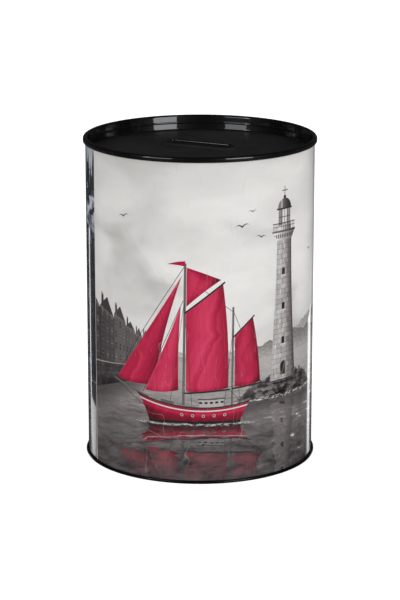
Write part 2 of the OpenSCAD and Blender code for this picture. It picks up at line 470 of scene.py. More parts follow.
def drawLighthouse(x, y):
    ink = Ink(0.5)
    # the tower flares towards its foot, and t runs from -1 to 1 across it
    half = 4.7 + (most(62 - y, 0) / 62) ** 1.7 * 3.4
    t = x / half
    light = 0.86 - t * 0.27 - t * t * 0.25
    row = y / 2.3
    column = calc("ARCSINE", least(most(t, -1), 1)) * 3.4 + whole(row) * 0.5
    joint = most(stripes(row, 0.4, 0.48), stripes(column, 0.42, 0.49))
    stone = chance(column, whole(row)) - 0.5
    weather = streak(x * 0.8 + streak(y * 0.25, 2) * 1.4, 5, 0.6) - 0.5
    tone = light * (0.78 + stone * 0.16 + weather * 0.45 - joint * 0.17)
    ink.fill(least(half - abs(x), y + 3, 64 - y), tone)
    # three windows one above the other, each 16 above the last
    across = x + 0.5
    up = part((most(least(y, 60), 12) - 12) / 16) * 16 - 1.5
    opening = least(0.95 - abs(across), up, 3.3 - up - across * across * 0.5)
    ink.fill(opening + 0.42, 0.7)
    ink.fill(opening, 0.1)
    ink.fill(least(1.7 - abs(across), 0.35 - abs(up + 0.3)), 0.8)
    door = least(1.7 - abs(x + 0.4), y + 1, 5.4 - y - x * x * 0.35)
    ink.fill(door + 0.5, 0.64)
    ink.fill(door, 0.12)
    # corbels and gallery
    corbel = 4.8 + most(y - 61.5, 0) * 0.62
    ink.fill(least(corbel - abs(x), y - 61.5, 65.2 - y), 0.68 - x * 0.045)
    ink.fill(least(corbel - abs(x), y - 62.6, 64.2 - y, part(x / 1.15) - 0.52), 0.2)
    ink.lay(between(y, 65.1, 66) * between(x, -7.5, 7.5), 0.34 - x * 0.02)
    # lantern room under its dome
    ink.lay(between(y, 66, 68.2) * between(x, -4.1, 4.1), 0.74 - x * 0.09)
    glass = least(3.8 - abs(x), y - 68.2, 75.6 - y)
    ink.fill(glass, 0.56 + ramp(abs(x), 2.6, 0.2) * 0.4)
    ink.fill(least(glass, 0.17 - abs(part(x / 1.9 + 0.5) - 0.5) * 1.9), 0.2)
    ink.fill(least(glass, 0.15 - abs(y - 72)), 0.2)
    ink.lay(between(y, 75.4, 76.2) * between(x, -4.9, 4.9), 0.2)
    rise = y - 76.1
    dome = calc("SQRT", most(1 - rise * rise / 19, 0)) * 4.3
    ink.fill(least(dome - abs(x), rise, 4.35 - rise),
             0.34 - x * 0.05 + ramp(abs(x + 1.9), 1, 0) * 0.3)
    ink.fill(0.85 - length(x, y - 81), 0.24)
    ink.lay(strokes(x, y, ((0, 80), (0, 86), 0.34), ((-1.6, 84), (1.9, 84), 0.4)), 0.2)
    # the gallery's railing
    rail = least(7.2 - abs(x), y - 66, 69.4 - y)
    ink.fill(least(rail, 0.13 - fromMiddle(x, 1.2)), 0.2)
    ink.fill(least(rail, 0.2 - abs(y - 69.2)), 0.18)
    ink.fill(least(rail, 0.13 - abs(y - 67.7)), 0.24)
    return ink.tone, ink.red, ink.cover


# Soft banks of cloud, brighter towards one place
def drawSky(x, y, glowX, glowY):
    drift = cloud(x * 0.011 + 3.1, y * 0.02 + 8, 3)
    bank = cloud(x * 0.021 + drift * 1.1, y * 0.031 + drift * 0.7 + 5.3, 3.5, 0.42, 0.2)
    wisp = cloud(x * 0.034 + bank * 0.9 + 7.7, y * 0.06 + 1.9, 5, 0.5, 0.1)
    glow = ramp(length((x - glowX) / 72, (y - glowY) / 52), 1.5, 0.1)
    tone = 0.905 + glow * 0.045 + (wisp - 0.5) * 0.12
    dark = ramp(bank, 0.5, 0.74) * (0.2 - glow * 0.05) * (1 - ramp(y, 112, 140) * 0.65)
    return (tone - dark + ramp(bank, 0.48, 0.32) * 0.035,)


# Gulls seen from afar: two bowed wings that thin out to their tips
def layGulls(ink, x, y, *gulls):
    found = -9
    for at, span, tilt in gulls:
        reach = abs(x - at[0]) / span
        wing = calc("SINE", reach * 2.7) * (0.3 * span)
        off = y - at[1] - (x - at[0]) * tilt - wing
        found = most(found, least(1 - reach, 1) * (0.13 * span) - abs(off))
    ink.fill(found, 0.25)


# Water that runs away from the viewer: a place's distance is one over its depth under the
# horizon, and the noise is laid out by that distance. Gives slow swell and fine ripples
def waterNoise(x, depth):
    far = 60 / (depth + 1.6)
    swell = cloud(x * far * 0.02 + 4, far * 3, 6, 0.62, 0.5)
    ripple = cloud(x * far * 0.08, far * 11 + 2, 5, 0.62, 0.3)
    return swell, ripple


# Stone houses side by side on a quay. run counts along the row and up is the height over
# the eye, both as seen from one metre away, so that w, the distance to the vanishing
# point, scales them into the picture
def layHouses(ink, x, y, ripple):
    w = most(harbour["vanishX"] - x, 1)
    run, up = 62 / w, (y - harbour["horizon"]) / w
    cell = run * 3.6
    f = part(cell)
    pick, pick2 = chance(cell, 1), chance(cell, 7)
    grain = cloud(run * 46, up * 60, 5, 0.7) - 0.5
    eaves = 0.31 + pick * 0.1
    gable = (1 - abs(f * 2 - 1)) * (0.05 + pick2 * 0.1)
    pots = stripes(f * 22, 0.34, 0.26) * 0.02
    stack = ramp(abs(f - 0.17), 0.085, 0.07) * (0.115 + pots)
    roof = most(eaves + gable, eaves + stack) - up
    wall = 0.22 + pick * 0.14 + grain * 0.16 - ramp(f, 0.06, 0) * 0.1
    wall = blend(wall, 0.17 + grain * 0.12 + pick2 * 0.08, inkEdge((up - eaves + 0.004) * w))
    pane, storey = part(f * 3), (up + 0.115) / 0.125
    window = least(0.17 - abs(pane - 0.5), 0.27 - abs(part(storey) - 0.55), eaves - 0.03 - up, up + 0.1)
    lit = chance(f * 3 + whole(cell) * 3, whole(storey))
    wall = blend(wall, 0.46, ramp(window, -0.06, -0.03) * 0.6)
    bars = most(ramp(abs(pane - 0.5), 0.03, 0.015), ramp(abs(part(storey) - 0.55), 0.035, 0.02))
    wall = blend(wall, 0.1 + lit * 0.22 + bars * 0.3, ramp(window, -0.02, 0.01))
    wall = blend(wall, 0.5, ramp(abs(up - eaves), 0.008, 0.004) * 0.7)
    # the quay's wall in courses, under a pale kerb
    course = (up + 0.32) / 0.04
    block = run * 16 + whole(course) * 0.5
    joint = most(stripes(course, 0.4, 0.47), stripes(block, 0.44, 0.48))
    quay = 0.27 + grain * 0.22 - joint * 0.1 + (chance(block, whole(course)) - 0.5) * 0.1
    wall = blend(wall, quay - ramp(up, -0.24, -0.31) * 0.13, inkEdge((-0.12 - up) * w))
    wall = blend(wall, 0.62, ramp(abs(up + 0.118), 0.007, 0.003))
    haze = ramp(run, 1, 3.4)
    end = ramp(run, 3.35, 3.3)
    ink.lay(inkEdge(least(roof * w, (up + 0.33) * w)) * end, blend(wall, 0.68, haze * 0.62))
    shade = ramp(up, -0.62, -0.33) * inkEdge((-0.33 - up) * w) * end
    ink.lay(shade * (0.35 + ripple * 0.6), 0.16 + haze * 0.2)


# Crags whose light follows the noise, and foam along the waterline
def layRock(ink, x, y, ripple, surf):
    waterline = harbour["waterline"] + (streak(x * 0.16) - 0.5) * 3
    lx = x - harbour["lightAt"][0]
    ragged = (streak(x * 0.09 + 1.3, 6, 0.62) - 0.5) * 15 * ramp(abs(lx), 5, 12)
    top = harbour["lightAt"][1] + 1.5 - (lx / 31) * (lx / 31) * 17 + ragged
    crag = cloud(x * 0.17 + y * 0.08, y * 0.34 - x * 0.05, 7, 0.66)
    ledge = streak(y * 0.55 + crag * 3, 3)
    tone = 0.1 + ramp(crag, 0.36, 0.64) * 0.36 + ramp(ledge, 0.42, 0.6) * 0.13 - lx * 0.004
    tone = tone - ramp(top - y, 0, 14) * 0.14
    ink.fill(least(top - y, y - waterline), tone)
    ink.lay(ramp(abs(y - waterline), 2.2, 0.2) * ramp(surf, 0.44, 0.58) * ramp(abs(lx), 31, 25), 0.86)
    ink.lay(ramp(y, waterline - 11, waterline) * inkEdge(waterline - y) * ramp(abs(lx), 30, 22)
            * (0.3 + ripple * 0.7), 0.15)
    return waterline


def drawHarbour(x, y):
    horizon = harbour["horizon"]
    ink = Ink(place(sky, x, y, -22, 104)[0])
    # far hills, paler with distance
    for height, swell, at, wide, tone, seed in ((60.5, 13, 62, 40, 0.66, 2.2), (58.5, 8, 34, 30, 0.54, 6.1)):
        bump = (x - at) / wide
        ridge = (height + calc("EXPONENT", bump * bump * -1) * swell
                 + (streak(x * 0.06 + seed, 7, 0.6) - 0.5) * 9)
        wood = cloud(x * 0.55 + seed, y * 0.9, 5, 0.65) - 0.5
        ink.fill(ridge - y, tone + 0.1 + wood * 0.3 - ramp(y - horizon, 0, swell) * 0.14)
    layGulls(ink, x, y, ((-2, 118), 3.4, 0.12), ((7.5, 112.5), 2.6, -0.1), ((-58, 121), 2.8, 0.2),
             ((43, 101), 2.4, -0.15), ((3, 124.5), 2, 0.05))
    # the sea, darker towards the viewer and with glints on the right
    depth = most(horizon - y, 0)
    swellNoise, ripple = waterNoise(x, depth)
    near = ramp(depth, 0, 52)
    tone = 0.69 - near * 0.37 + (swellNoise - 0.5) * 0.34 + (ripple - 0.5) * (0.22 + near * 0.18)
    glint = (ramp(ripple, 0.56, 0.66) * ramp(swellNoise, 0.44, 0.6)
             * ramp(x, -8, 44) * ramp(depth, 6, 24))
    ink.fill(horizon - y, tone + glint * 0.5)
    layHouses(ink, x, y, ripple)
    surf = cloud(x * 0.5, y * 1.3 + 2, 5, 0.7)
    waterline = layRock(ink, x, y, ripple, surf)
    # the lighthouse, and its broken image in the water
    lx, ly = x - harbour["lightAt"][0], y - harbour["lightAt"][1]
    bend = (ripple + swellNoise - 1) * 5
    image = place(lighthouse, lx + bend, (38 - y) * 1.35 - 2)
    ink.lay(image[2] * inkEdge(waterline - 2.5 - y) * 0.42, image[0] * 0.8)
    tower = place(lighthouse, lx, ly)
    ink.lay(tower[2], tower[0])
    # the boat on its shadow, its image and its wake
    bx, by = x - harbour["boatAt"][0], y - harbour["boatAt"][1]
    size = harbour["boatScale"]
    below = inkEdge(-0.2 - by)
    bend = (ripple - 0.5) * (3 + most(by * -1, 0) * 0.35)
    image = place(boat, (bx + bend) / size, (by * -1.15 + bend * 0.5) / size)
    broken = 0.45 + ramp(ripple, 0.4, 0.6) * 0.5
    ink.lay(image[2] * below * ramp(by, -36, 0) * broken, image[0] * 0.72, image[1])
    ink.lay(ramp(abs(bx + 3), 30, 20) * ramp(by, -5, 0.5) * below * 0.6, 0.07)
    vessel = place(boat, bx / size, by / size)
    ink.lay(vessel[2], vessel[0], vessel[1])
    wake = ramp(abs(by + 0.4 + (ripple - 0.5) * 2), 0.9, 0.1) * ramp(abs(bx + 2), 36, 20)
    ink.lay(wake * ramp(surf, 0.4, 0.56), 0.8)
    # a little darker towards the corners
    corner = length(x / 95, (y - 78) / 95)
    return ink.tone * (1.02 - corner * corner * 0.1), ink.red


lakeside = {
    "shore": 38,
    "balloonAt": (-18, 97),
    "balloonR": 17,
    "farBalloonAt": (29, 117),
}


# A row of conifers: each cell holds one, with its own height, and ragged boughs
def layPines(ink, x, y, foot, tall, spread, tone, seed):
    cell = x / spread + seed
    aside = (chance(cell, seed + 3) - 0.5) * 0.3
    down = foot + (chance(cell, seed) * 0.5 + 0.5) * tall - y
    bough = part(down / (tall * 0.075) + chance(cell, 9)) * 0.4 + 0.7
    half = least(down * 0.17 * bough, spread * 0.62)
    across = abs(part(cell) - 0.5 - aside) * spread
    ink.lay(inkEdge(half - across) * inkEdge(y - foot + tall * 0.5),
            tone + (cloud(x * 1.6, y * 2.2, 3, 0.7) - 0.5) * 0.16)


# A hot-air balloon: a circle above, its tangents drawn in to the mouth below, in gores
def layBalloon(ink, x, y, at, r, tone, red):
    bx, by = (x - at[0]) / r, (y - at[1]) / r
    circle = calc("SQRT", most(1 - by * by, 0))
    half = blend(1.1545 + by * 0.577, circle, calc("GREATER_THAN", by, -0.5))
    around = calc("ARCSINE", least(most(bx / most(half, 0.02), -1), 1))
    envelope = least(half - abs(bx), by + 1.5, 0.995 - by) * r
    gore = around * 2.55 + 0.25
    pale = ramp(abs(by - 0.05), 0.16, 0.14)
    shade = calc("COSINE", around + 0.55) * 0.5 - 0.22 + by * 0.08
    weave = (cloud(x * 0.5, y * 0.16, 4) - 0.5) * 0.14
    bulge = calc("SINE", part(gore) * 3.14) * 0.1 - stripes(gore, 0.44) * 0.12
    ink.fill(envelope, tone + shade + bulge + weave, red)
    ink.lay(inkEdge(envelope) * pale, 0.84 + shade * 0.6 + bulge)
    ink.lay(inkEdge(envelope) * ramp(abs(abs(by - 0.05) - 0.24), 0.028, 0.016), 0.8 + shade * 0.6)
    ink.lay(strokes(bx * r, by * r, *[((side * r, -1.5 * r), (side * 0.6 * r, -1.78 * r), 0.16)
                                      for side in (-0.27, -0.1, 0.1, 0.27)]), 0.14)
    basket = least(0.165 - abs(bx), 0.12 - abs(by + 1.88)) * r
    wicker = most(stripes(by * 26, 0.25, 0.45), stripes(bx * 22, 0.3, 0.45))
    ink.fill(basket, 0.34 - wicker * 0.16)
    ink.fill(least(0.185 - abs(bx), 0.02 - abs(by + 1.77)) * r, 0.2)


def drawLakeside(x, y):
    shore = lakeside["shore"]
    depth = most(shore - y, 0)
    swellNoise, ripple = waterNoise(x, depth)
    # under the shore everything is mirrored and sways with the ripples
    sway = (ripple + swellNoise * 0.6 - 0.8) * ramp(depth, 0, 12)
    mx, my = x + sway * 3, abs(y - shore) + shore + sway * 4
    ink = Ink(place(sky, mx, my, -30, 92)[0] - 0.04)
    layBalloon(ink, mx, my, lakeside["farBalloonAt"], 4.2, 0.5, 0)
    for height, swell, scale, tone, seed in ((84, 34, 0.013, 0.62, 1.7), (70, 30, 0.019, 0.5, 6.4),
                                             (57, 24, 0.026, 0.37, 9.2), (47, 16, 0.035, 0.25, 3.3)):
        ridge = height + (streak(mx * scale + seed, 9) - 0.5) * swell
        down = ridge - my
        face = cloud(mx * 0.07 + seed, my * 0.11 + seed, 8, 0.62, 0.6) - 0.5
        mist = ramp(down, 1, 24) * 0.17
        ink.fill(down, tone + face * (0.32 - tone * 0.2) + mist)
    bank = 41 + (streak(mx * 0.05 + 8) - 0.5) * 8
    ink.fill(bank - my, 0.16 + (cloud(mx * 0.7, my * 1.4, 5, 0.7) - 0.5) * 0.3)
    layPines(ink, mx, my, bank - 2, 13, 3.1, 0.22, 4)
    layPines(ink, mx, my, bank - 3, 17, 4.3, 0.13, 11)
    # a wooded crag at the right end
    crag = 36 + ramp(mx, 42, 75) * 104 + (streak(mx * 0.12 + 5, 7, 0.6) - 0.5) * 16
    cleft = cloud(mx * 0.13 + 2, my * 0.17 + mx * 0.04, 7, 0.68, 0.4)
    snow = ramp(cleft, 0.44, 0.54) * ramp(my, 84, 122) * 0.46
    gloom = 1 - ramp(mx, 74, 81) * ramp(my, 118, 100) * 0.6
    ink.fill(crag - my, (0.12 + ramp(cleft, 0.38, 0.68) * 0.4) * gloom + snow)
    layPines(ink, mx, my, crag - 4, 15, 3.7, 0.13, 21)
    layPines(ink, mx, my, crag - 38, 17, 4.6, 0.15, 27)
    layPines(ink, mx, my, crag - 72, 18, 5.2, 0.13, 33)
    layBalloon(ink, mx, my, lakeside["balloonAt"], lakeside["balloonR"], 0.44, 1)
    # the lake's own tone, a lit line at the shore and glints
    water = inkEdge(shore - y)
    tone = ink.tone * (0.8 - ramp(depth, 0, 38) * 0.3) + (ripple - 0.5) * 0.22
    glint = ramp(ripple, 0.57, 0.68) * ramp(swellNoise, 0.42, 0.6) * 0.3
    tone = blend(ink.tone, tone + glint * ramp(depth, 3, 20), water)
    tone = blend(tone, 0.74, ramp(abs(y - shore), 0.5, 0.15) * ramp(swellNoise, 0.35, 0.6))
    corner = length(x / 110, (y - 76) / 100)
    return tone * (1.02 - corner * corner * 0.12), ink.red


inks = {  # each in equal steps from black to white through the ink's own colour
    "warm": ((16, 13, 15), (66, 60, 62), (126, 120, 119), (190, 187, 184), (243, 242, 239)),
    "slate": ((12, 13, 22), (47, 52, 70), (98, 104, 122), (160, 165, 178), (224, 226, 232)),
    "crimson": ((38, 3, 13), (104, 10, 34), (178, 24, 64), (222, 66, 102), (246, 158, 174)),
    "paper": (232, 226, 212),  # the sheet's white ground
    "panelLine": 0.15,  # half the ground's line between the pictures
    "seamMargin": 2.6,  # how much of the ground is left beside the seam
}


def plain(colour):  # a screen colour from 0 to 255 as light
    return tuple((c / 255) ** 2.2 for c in colour) + (1,)


def inkColour(tone, steps):
    colour = wired(tone.tree, "ValToRGB", {0: tone}, "Color")
    elements = colour.socket.node.color_ramp.elements
    for k in range(1, len(steps) - 1):
        elements.new(k / (len(steps) - 1))
    for element, screen in zip(elements, steps):
        element.color = plain(screen)
    return colour


# The picture in its inks, with the bare ground left at its ends
def printPicture(name, picture, grey, leftEnd, rightEnd):
    def draw(x, y):
        tone, red = place(picture, x, y)
        grit = cloud(x * 3.1, y * 3.1, 3, 0.8) - 0.5
        tone = tone + grit * 0.05
        colour = blend(inkColour(tone, inks[grey]), inkColour(tone, inks["crimson"]), red, "RGBA")
        ground = most(inkEdge(leftEnd - x), inkEdge(x - rightEnd))
        return (blend(colour, plain(inks["paper"]), ground, "RGBA"),)
    return nodeGroup(name, across, ("Color",), draw)


across = ("X", "Y")
sky = nodeGroup("skyPicture", across + ("Glow X", "Glow Y"), ("Tone",), drawSky)
boat = nodeGroup("boatPicture", across, ("Tone", "Red", "Cover"), drawBoat)
lighthouse = nodeGroup("lighthousePicture", across, ("Tone", "Red", "Cover"), drawLighthouse)
harbourPicture = nodeGroup("harbourPicture", across, ("Tone", "Red"), drawHarbour)
lakesidePicture = nodeGroup("lakesidePicture", across, ("Tone", "Red"), drawLakeside)
quarter = sheetLength / 4  # from a picture's middle to the seam
frontPicture = printPicture("frontPicture", harbourPicture, "warm",
                            border - quarter * 3 + inks["panelLine"], quarter - inks["seamMargin"])
backPicture = printPicture("backPicture", lakesidePicture, "slate",
                           inks["seamMargin"] - quarter, border - quarter - inks["panelLine"])
print("pictures ready")


finish = {
    "black": (0.0026, 0.0023, 0.0025, 1),
    "dustAndPaintedSheen": (0.0298, 0.0266, 0.0281, 1),  # the lid's panel: fine dust, and a lighter colour that paints the sheen of the level panel
    "rubbed": (0.05, 0.048, 0.05, 1),  # scratches and specks in the lacquer
    "lacquerRoughness": 0.35,
    "lacquerSheen": 0.15,
    "panelR": 50.1,
    "lipR": 4.15,  # how far from the slot's middle line its lip is polished
    "footHeight": 2,
    "tinplate": (0.62, 0.6, 0.565, 1),
    "tarnished": (0.5, 0.475, 0.44, 1),
    "tinSpecks": (0.3, 0.28, 0.26, 1),
    "tinMetallic": 0.62,  # a thin clear lacquer dulls the bare sheet
    "tinRoughness": 0.3,
    "tinHandling": 0.8,
    "wornPrint": (0.5, 0.48, 0.45, 1),
    "printRoughness": 0.42,
    "printSheen": 0.2,
    "varnishRoughness": 0.07,
    "coatRoughness": 0.04,
    "lacquerPeel": 0.004,  # the height of the orange peel
    "varnishPeel": 0.0016,
    "waviness": 0.03,  # how far the sheet is from truly round
    "grain": 0.002,  # the rolled grain of bare sheet
}


def newMaterial(name):
    material = bpy.data.materials.new(name)
    material.use_nodes = True
    return material, material.node_tree


# Feeds the shader's sockets. height is the surface's relief in millimetres
def dress(material, inputs, height=None):
    shader = material.node_tree.nodes["Principled BSDF"]
    if height:
        normal = wired(height.tree, "Bump", {"Distance": mm, "Height": height}, "Normal")
        inputs = {**inputs, "Normal": normal, "Coat Normal": normal}
    for name, value in inputs.items():
        feed(shader.inputs[name], value)
    return material


def objectSpace(tree):
    return wired(tree, "TexCoord", {}, "Object")


def axes(vector):
    return wired(vector.tree, "SeparateXYZ", {0: vector}).siblings()


def noise3d(vector, scale, stretch=(1, 1, 1), detail=3, roughness=0.5, distortion=0):
    scaled = wired(vector.tree, "Mapping", {"Vector": vector, "Scale": [scale * s for s in stretch]})
    return noise(scaled, "3D", detail, roughness, distortion)


# What hands and shelves leave on a tin. A hairline scratch is where a long thin noise passes
# through its middle value, kept only where a second, coarse noise is high
def drawHandling(vector, amount):
    scratch = 0
    for turn, stretch in ((0, (26, 260, 40)), (1, (240, 60, 22))):
        line = noise3d(vector, 1 + turn * 0.3, stretch, 2, 0.4, 0.6)
        where = noise3d(vector, 45 + turn * 21, detail=1)
        scratch = most(scratch, ramp(abs(line - 0.5), 0.006, 0.0015) * ramp(where, 0.54, 0.62))
    smudge = ramp(noise3d(vector, 38, (1, 1, 0.7), 4, 0.55, 0.8), 0.36, 0.7)
    speck = ramp(noise3d(vector, 1500, detail=2), 0.72, 0.78)
    return scratch * amount, smudge * amount, speck * amount


# The height of orange peel on a sheet that isn't quite even
def drawPeel(vector, peelHeight, waviness):
    ripple = noise3d(vector, 900, detail=1) - 0.5
    wave = noise3d(vector, 22, (1, 1, 0.6), 1) - 0.5
    return (ripple * peelHeight + wave * waviness,)


# The streaks that rolling leaves along one direction
def drawRolled(vector):
    return (noise3d(vector, 1, (60, 2600, 2600), 3, 0.6) - 0.5,
            noise3d(vector, 1, (14, 420, 420), 2, 0.5) - 0.5)


handling = nodeGroup("handlingMarks", ("Vector", "Amount"), ("Scratch", "Smudge", "Speck"), drawHandling)
peel = nodeGroup("orangePeel", ("Vector", "Peel Height", "Waviness"), ("Height",), drawPeel)
rolled = nodeGroup("rolledGrain", ("Vector",), ("Fine", "Wide"), drawRolled)


def inside(value, edge, soft=0.4):  # 1 below the edge, which is in millimetres, and 0 past it
    return ramp(value, (edge + soft) * mm, (edge - soft) * mm)


# Glossy black, made matt on the panel inside panelR and scuffed on the foot. On the panel the colour is
# also lifted, as painted sheen with some dust. The slot's lip is polished by coins and fingertips.
# q is the distance from the slot's middle line
def blackLacquer():
    material, tree = newMaterial("blackLacquer")
    space = objectSpace(tree)
    x, y, z = axes(space)
    reach = (lid["slotLength"] - lid["slotWidth"]) / 2 * mm
    q = length(most(abs(x) - reach, 0), y) + ramp(z, 0.1, 0.09)
    # the panel, where the lacquer is made matt and its colour is lifted as painted sheen
    dullAndPaintedSheen = inside(length(x, y), finish["panelR"])
    dullAndPaintedSheen = dullAndPaintedSheen * (1 - inside(q, finish["lipR"], 0.45) * 0.85)
    scuffed = inside(z, finish["footHeight"]) * 0.75
    scratch, smudge, speck = place(handling, space, 1)
    # the panel's lighter colour is painted sheen, with dust in its smudges
    colour = blend(finish["black"], finish["dustAndPaintedSheen"], dullAndPaintedSheen * (smudge * 0.3 + 0.7), "RGBA")
    colour = blend(colour, finish["rubbed"], most(scratch * 0.4, speck * 0.3), "RGBA")
    return dress(material, {
        "Base Color": colour,
        "Roughness": dullAndPaintedSheen * 0.2 + smudge * 0.06 + scratch * 0.16 + finish["lacquerRoughness"],
        "Coat Weight": 1 - most(dullAndPaintedSheen * 0.93, scuffed) - smudge * 0.07 - scratch * 0.4,
        "Coat Roughness": finish["coatRoughness"],
        "Specular IOR Level": finish["lacquerSheen"],
    }, place(peel, space, finish["lacquerPeel"], finish["waviness"])[0])


def bareTinplate():
    material, tree = newMaterial("bareTinplate")
    space = objectSpace(tree)
    fine, wide = place(rolled, space)
    scratch, smudge, speck = place(handling, space, finish["tinHandling"])
    colour = blend(finish["tinplate"], finish["tarnished"], smudge * 0.7 + wide * 0.8, "RGBA")
    colour = blend(colour, finish["tinSpecks"], speck * 0.6, "RGBA")
    return dress(material, {
        "Base Color": colour,
        "Metallic": finish["tinMetallic"],
        "Roughness": finish["tinRoughness"] + smudge * 0.12 + fine * 0.3 - scratch * 0.08,
    }, fine * finish["grain"])


# A picture printed on the sheet under clear varnish. middle is where x = 0 lies on the sheet
def printedSheet(name, picture, middle):
    material, tree = newMaterial(name)
    x, y, _ = axes(wired(tree, "UVMap", {}, uv_map="sheet"))
    colour, = place(picture, x - middle, y)
    space = objectSpace(tree)
    scratch, smudge, speck = place(handling, space, 1)
    colour = blend(colour, finish["wornPrint"], scratch * 0.22 + speck * 0.1, "RGBA")
    return dress(material, {
        "Base Color": colour,
        "Roughness": finish["printRoughness"] + smudge * 0.08,
        "Specular IOR Level": finish["printSheen"],
        "Coat Weight": 1 - smudge * 0.08 - scratch * 0.3,
        "Coat Roughness": finish["varnishRoughness"],
    }, place(peel, space, finish["varnishPeel"], finish["waviness"])[0])


black = blackLacquer()
tinplate = bareTinplate()
frontPrint = printedSheet("frontPrint", frontPicture, quarter * 3)
backPrint = printedSheet("backPrint", backPicture, quarter)
print("finishes ready")


# The sheet's line runs from the hem's free edge over the crest, down the wall and out
# along the foot's flange
def wrapLine():
    t = tin["sheet"]
    wallR = bodyR - t / 2
    hemR = wallR - t - wrap["hemGap"]
    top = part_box("body_wrap")[1].z / mm - t / 2
    bend = (t + wrap["hemGap"]) / 2
    return bentLine(
        [(hemR, top + t / 2 - wrap["hemDrop"]), (hemR, top), (wallR, top),
         (wallR, wrap["flangeZ"]), (bodyR + wrap["flangeOut"], wrap["flangeZ"])],
        [0, bend, bend, 0.35, 0])


def makeWrap():
    line = wrapLine()
    outline = sheetOutline(line, tin["sheet"])
    half = len(line)
    edges = np.array([0, 0.1, 0.2, 0.3, 0.6])  # finer columns beside the seam
    u = np.r_[edges, np.linspace(0, sheetLength, tin["columns"] + 1)[2:-2], sheetLength - edges[::-1]]
    azimuth = math.radians(wrap["seamAzimuth"]) + u[:-1] / bodyR
    wallTop = np.argmax(line[:, 0] > line[0, 0] + 0.2)
    walked = np.r_[0, np.cumsum(np.linalg.norm(np.diff(line, axis=0), axis=1))]
    v = line[wallTop, 1] + walked[wallTop] - walked  # equals the height on the wall
    v = np.r_[v, v[::-1]]
    materialRows = np.full((len(outline), len(azimuth)), 2)
    materialRows[:half - 1] = np.where(u[:-1] < border - 0.01, 1, 0)
    # the sheet dips along a fine line where its two edges hook together
    aside = np.minimum(u, sheetLength - u)[:-1] / wrap["seamLine"]
    onWall = (outline[:, 0] > bodyR - tin["sheet"] / 2) & (outline[:, 0] < bodyR + 0.01)
    dip = np.outer(onWall, np.clip(1 - aside * 1.4, 0, 1)) * wrap["seamLineDepth"]
    points = spin(outline, azimuth)
    points[..., :2] -= aroundTin(azimuth) * dip[..., None]
    mesh = gridMesh("bodyWrap", points, True, (u, v), materialRows)
    addPiece("body_wrap_sheet", mesh, "tin", "printed_tinplate",
             [frontPrint, backPrint, tinplate], "body_wrap")


# The seam's folds: a flat strip with round edges that stands in from the wall
def makeLockSeam():
    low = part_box("base")[1].z / mm + wrap["seamOverBase"]
    high = tinHeight - lid["depth"] - wrap["seamUnderLid"]
    r0 = bodyR - tin["sheet"]
    halfWidth, stand = wrap["seamWidth"] / 2, wrap["seamStand"]
    strip = bentLine(
        [(-halfWidth, 0.02), (-halfWidth, -stand), (halfWidth, -stand), (halfWidth, 0.02)],
        [0, 0.3, 0.3, 0], 4)
    azimuth = math.radians(wrap["seamAzimuth"]) + strip[:, 0] / r0
    ring = (r0 + strip[:, 1])[:, None] * aroundTin(azimuth)
    side = np.array([np.c_[ring, np.full(len(ring), z)] for z in np.linspace(low, high, 3)])
    centre = side[[0, -1]].mean(1, keepdims=True) + 0 * side[[0, -1]]
    points = np.concatenate([centre[:1], side, centre[1:]])
    mesh = gridMesh("lockSeam", points, False)
    addPiece("lock_seam", mesh, "tin", "printed_tinplate", [tinplate])


makeWrap()
makeLockSeam()
print("wrap ready")


# The ends are lacquered outside only, on the side that a sheet's outline takes first
def bareInside(line):
    inside = np.arange(2 * len(line)) >= len(line) - 1
    return np.repeat(inside[:, None], tin["columns"], 1)


